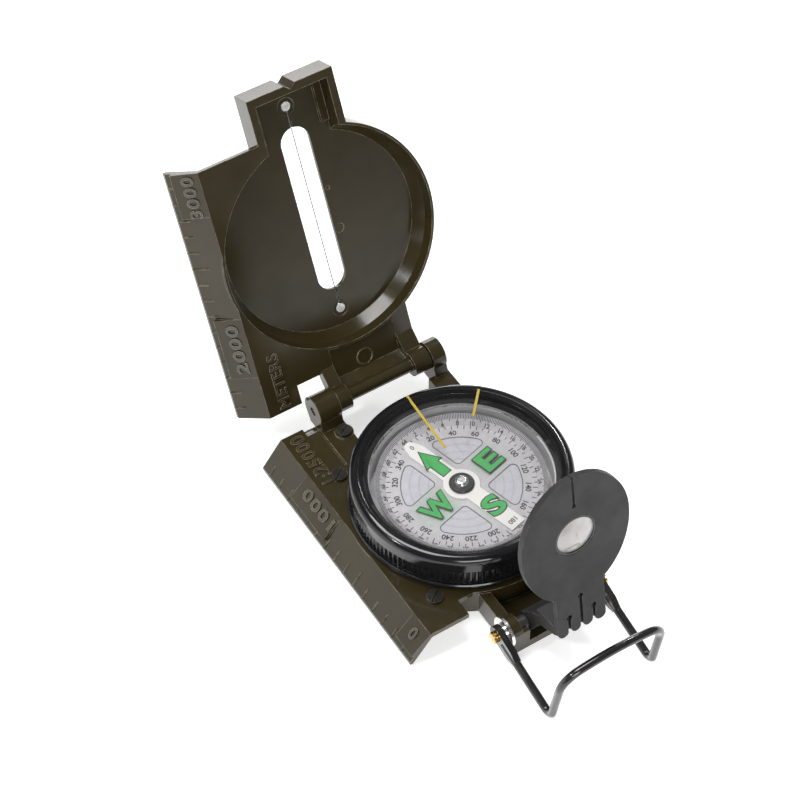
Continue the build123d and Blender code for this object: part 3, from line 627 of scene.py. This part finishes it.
def cast_lettering():
    pad_number("ruler_number_1000", "1000", 15.4, DECK_TOP, 1, "base", 11.6 * MM)
    pad_number("ruler_number_0", "0", -23.9, DECK_TOP, 1, "base")
    pad_number("ruler_number_2000", "2000", 16.5, RIM_Z, -1, "cover", 12.4 * MM)
    pad_number("ruler_number_3000", "3000", -21.8, RIM_Z, -1, "cover", 10.0 * MM)
    outward = Vector((-1, 0, 0))
    centre = Vector((-22.7 * MM, 26.7 * MM, DECK_TOP))
    along = Vector((0, 1, 0))
    lettering("deck_scale_text", "1:25000", 3.4 * MM, centre, along, outward, "base", 0.02, 15.2 * MM)
    centre = Vector((-21.4 * MM, 27.0 * MM, RIM_Z))
    lettering("cover_scale_text", "METERS", 2.8 * MM, centre, -along, outward, "cover", 0.02, 14.0 * MM)


# ---------------------------------------------------------------- floor, light and camera
def build_floor():
    size = 3.0
    mesh = bpy.data.meshes.new("floor")
    corners = [(-size, -size, 0), (size, -size, 0), (size, size, 0), (-size, size, 0)]
    mesh.from_pydata(corners, [], [(0, 1, 2, 3)])
    floor = bpy.data.objects.new("floor", mesh)
    floor.location.z = min(0.0, cad_box[0][2]) - 0.02 * MM
    bpy.context.scene.collection.objects.link(floor)
    material, tree, shader = new_material("floor_white")
    tree.links.new(
        ramp(tree, noise(tree, 4.0, 3.0), ((0.3, (0.86, 0.86, 0.86)), (0.7, (0.9, 0.9, 0.9)))),
        shader.inputs["Base Color"],
    )
    shader.inputs["Roughness"].default_value = 0.6
    shader.inputs["Emission Color"].default_value = (1, 1, 1, 1)
    shader.inputs["Emission Strength"].default_value = 0.55
    mesh.materials.append(material)


def area_light(name, place, target, size, power):
    light = bpy.data.lights.new(name, "AREA")
    light.shape = "RECTANGLE"
    light.size, light.size_y = size
    light.energy = power
    holder = bpy.data.objects.new(name, light)
    holder.location = place
    holder.rotation_euler = (Vector(target) - Vector(place)).to_track_quat("-Z", "Y").to_euler()
    bpy.context.scene.collection.objects.link(holder)


def build_world():
    """Dim studio room that the camera sees as white."""
    world = bpy.data.worlds.new("studio")
    world.use_nodes = True
    tree = world.node_tree
    background = tree.nodes["Background"]
    path = tree.nodes.new("ShaderNodeLightPath")
    strength = tree.nodes.new("ShaderNodeMapRange")
    strength.inputs["To Min"].default_value = 0.2
    strength.inputs["To Max"].default_value = 1.0
    tree.links.new(path.outputs["Is Camera Ray"], strength.inputs["Value"])
    tree.links.new(strength.outputs["Result"], background.inputs["Strength"])
    background.inputs["Color"].default_value = (1, 1, 1, 1)
    bpy.context.scene.world = world


def build_light():
    build_world()
    area_light("key_softbox", (-0.08, 0.22, 0.76), (0, 0.0, 0.02), (0.36, 0.36), 4.8)
    area_light("front_softbox", (-0.3, -0.75, 0.45), (0, 0.0, 0.02), (0.4, 0.3), 3.6)
    area_light("left_card", (-0.9, 0.45, 0.2), (0, 0.02, 0.02), (1.0, 0.34), 1.4)
    area_light("back_card", (0.3, 0.85, 0.16), (0, 0.02, 0.05), (0.5, 0.2), 1.6)
    area_light("left_glint", (-0.5, 0.1, 0.6), (0, 0.0, 0.02), (0.05, 0.05), 1.0)
    area_light("right_glint", (0.4, 0.35, 0.55), (0, 0.0, 0.02), (0.05, 0.05), 1.0)


def build_camera():
    """Seen from the left behind the eyepiece, well above the dial."""
    azimuth = radians(-31.7)
    elevation = radians(50.56)
    roll = radians(-0.7)
    distance = 0.5405
    target = Vector((3.2, 30.66, 8.0)) * MM
    back = Vector((sin(azimuth) * cos(elevation), -cos(azimuth) * cos(elevation), sin(elevation)))
    level = Vector((cos(azimuth), sin(azimuth), 0))
    rise = back.cross(level)
    right = level * cos(roll) + rise * sin(roll)
    up = rise * cos(roll) - level * sin(roll)
    data = bpy.data.cameras.new("camera")
    data.lens = 105.93
    data.sensor_width = 36.0
    data.clip_start = 0.01
    camera = bpy.data.objects.new("camera", data)
    bpy.context.scene.collection.objects.link(camera)
    turn = Matrix((right, up, back)).transposed().to_4x4()
    camera.matrix_world = Matrix.Translation(target + back * distance) @ turn
    bpy.context.scene.camera = camera


dress_nodes()
print_dial()
cast_lettering()
build_floor()
build_light()
build_camera()
bpy.context.scene.view_settings.view_transform = "Standard"
